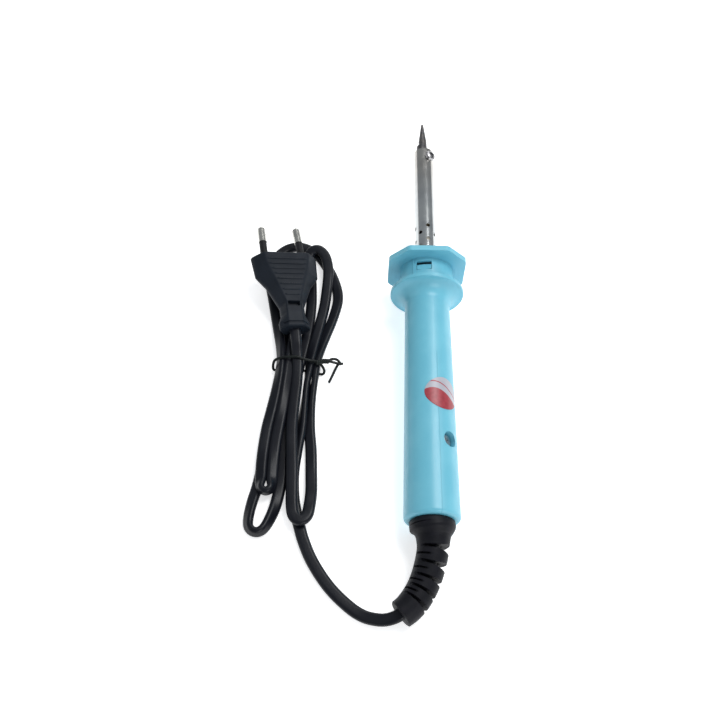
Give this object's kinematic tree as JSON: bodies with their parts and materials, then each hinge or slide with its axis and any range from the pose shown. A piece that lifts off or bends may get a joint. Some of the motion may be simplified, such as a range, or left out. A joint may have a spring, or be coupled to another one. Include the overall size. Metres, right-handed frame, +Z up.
{
  "type": "soldering iron",
  "caption": "Mains soldering iron with a moulded handle, hand guard, vented steel barrel, removable pointed tip, strain relief and a flat cord tied in a hank with a two-pin plug.",
  "frame": {"origin": "on the surface that the iron lies on, under the middle of the iron's length without its cord", "axes": "+Y along the iron towards the tip, +Z up, +X to the right seen from the handle's end"},
  "size_m": [0.1024, 0.2601, 0.0361],
  "materials": {
    "handle_plastic": "smooth moulded plastic",
    "barrel_steel": "bright drawn steel",
    "plated_steel": "zinc plated",
    "tip_plating": "dark plated and dull",
    "screw_steel": "plated",
    "former_steel": "heat tinted",
    "mica": "flaky mica sheet",
    "resistance_wire": "drawn wire",
    "ceramic": "unglazed steatite",
    "glass_sleeve": "woven glass fibre",
    "terminal_brass": "machined",
    "core_plastic": "soft vinyl insulation",
    "cord_plastic": "satin vinyl sheath",
    "black_plastic": "moulded",
    "label_paper": "printed film",
    "boot_rubber": "satin moulded rubber",
    "tie_plastic": "coated wire",
    "plug_plastic": "moulded vinyl",
    "pin_metal": "nickel plated"
  },
  "bodies": {
    "iron": {"handle": "handle_plastic", "front_guard": "handle_plastic", "barrel": "barrel_steel", "barrel_ring": "barrel_steel", "retainer_plate": "plated_steel", "retainer_screws": "plated_steel", "heater_former": "former_steel", "inner_mica": "mica", "heater_winding": "resistance_wire", "outer_mica": "mica", "ceramic_bush": "ceramic", "heater_leads": "resistance_wire", "lead_sleeves": "glass_sleeve", "terminal_block": "ceramic", "terminal_tubes": "terminal_brass", "terminal_screws": "terminal_brass", "cord_cores": "core_plastic", "cord_tail": "cord_plastic", "cord_anchor": "black_plastic", "anchor_screw": "plated_steel", "rating_label": "label_paper", "cord_boot": "boot_rubber", "cord_lead": "cord_plastic", "cord_hank": "cord_plastic", "cord_tie": "tie_plastic", "plug_body": "plug_plastic", "plug_pins": "pin_metal", "pin_sleeves": "black_plastic"},
    "tip": {"tip": "tip_plating"},
    "clamp_screw": {"clamp_screw": "screw_steel"}
  },
  "joints": [
    {"name": "tip_slide", "type": "slide", "parent": "iron", "child": "tip", "axis": [0, 0.9987, 0.0507], "range_m": [0, 0.052]},
    {"name": "clamp_turn", "type": "hinge", "parent": "iron", "child": "clamp_screw", "pos_m": [0.00272, 0.08383, 0.02569], "axis": [0.5446, -0.0425, 0.8376], "range_deg": [0, 720]}
  ]
}
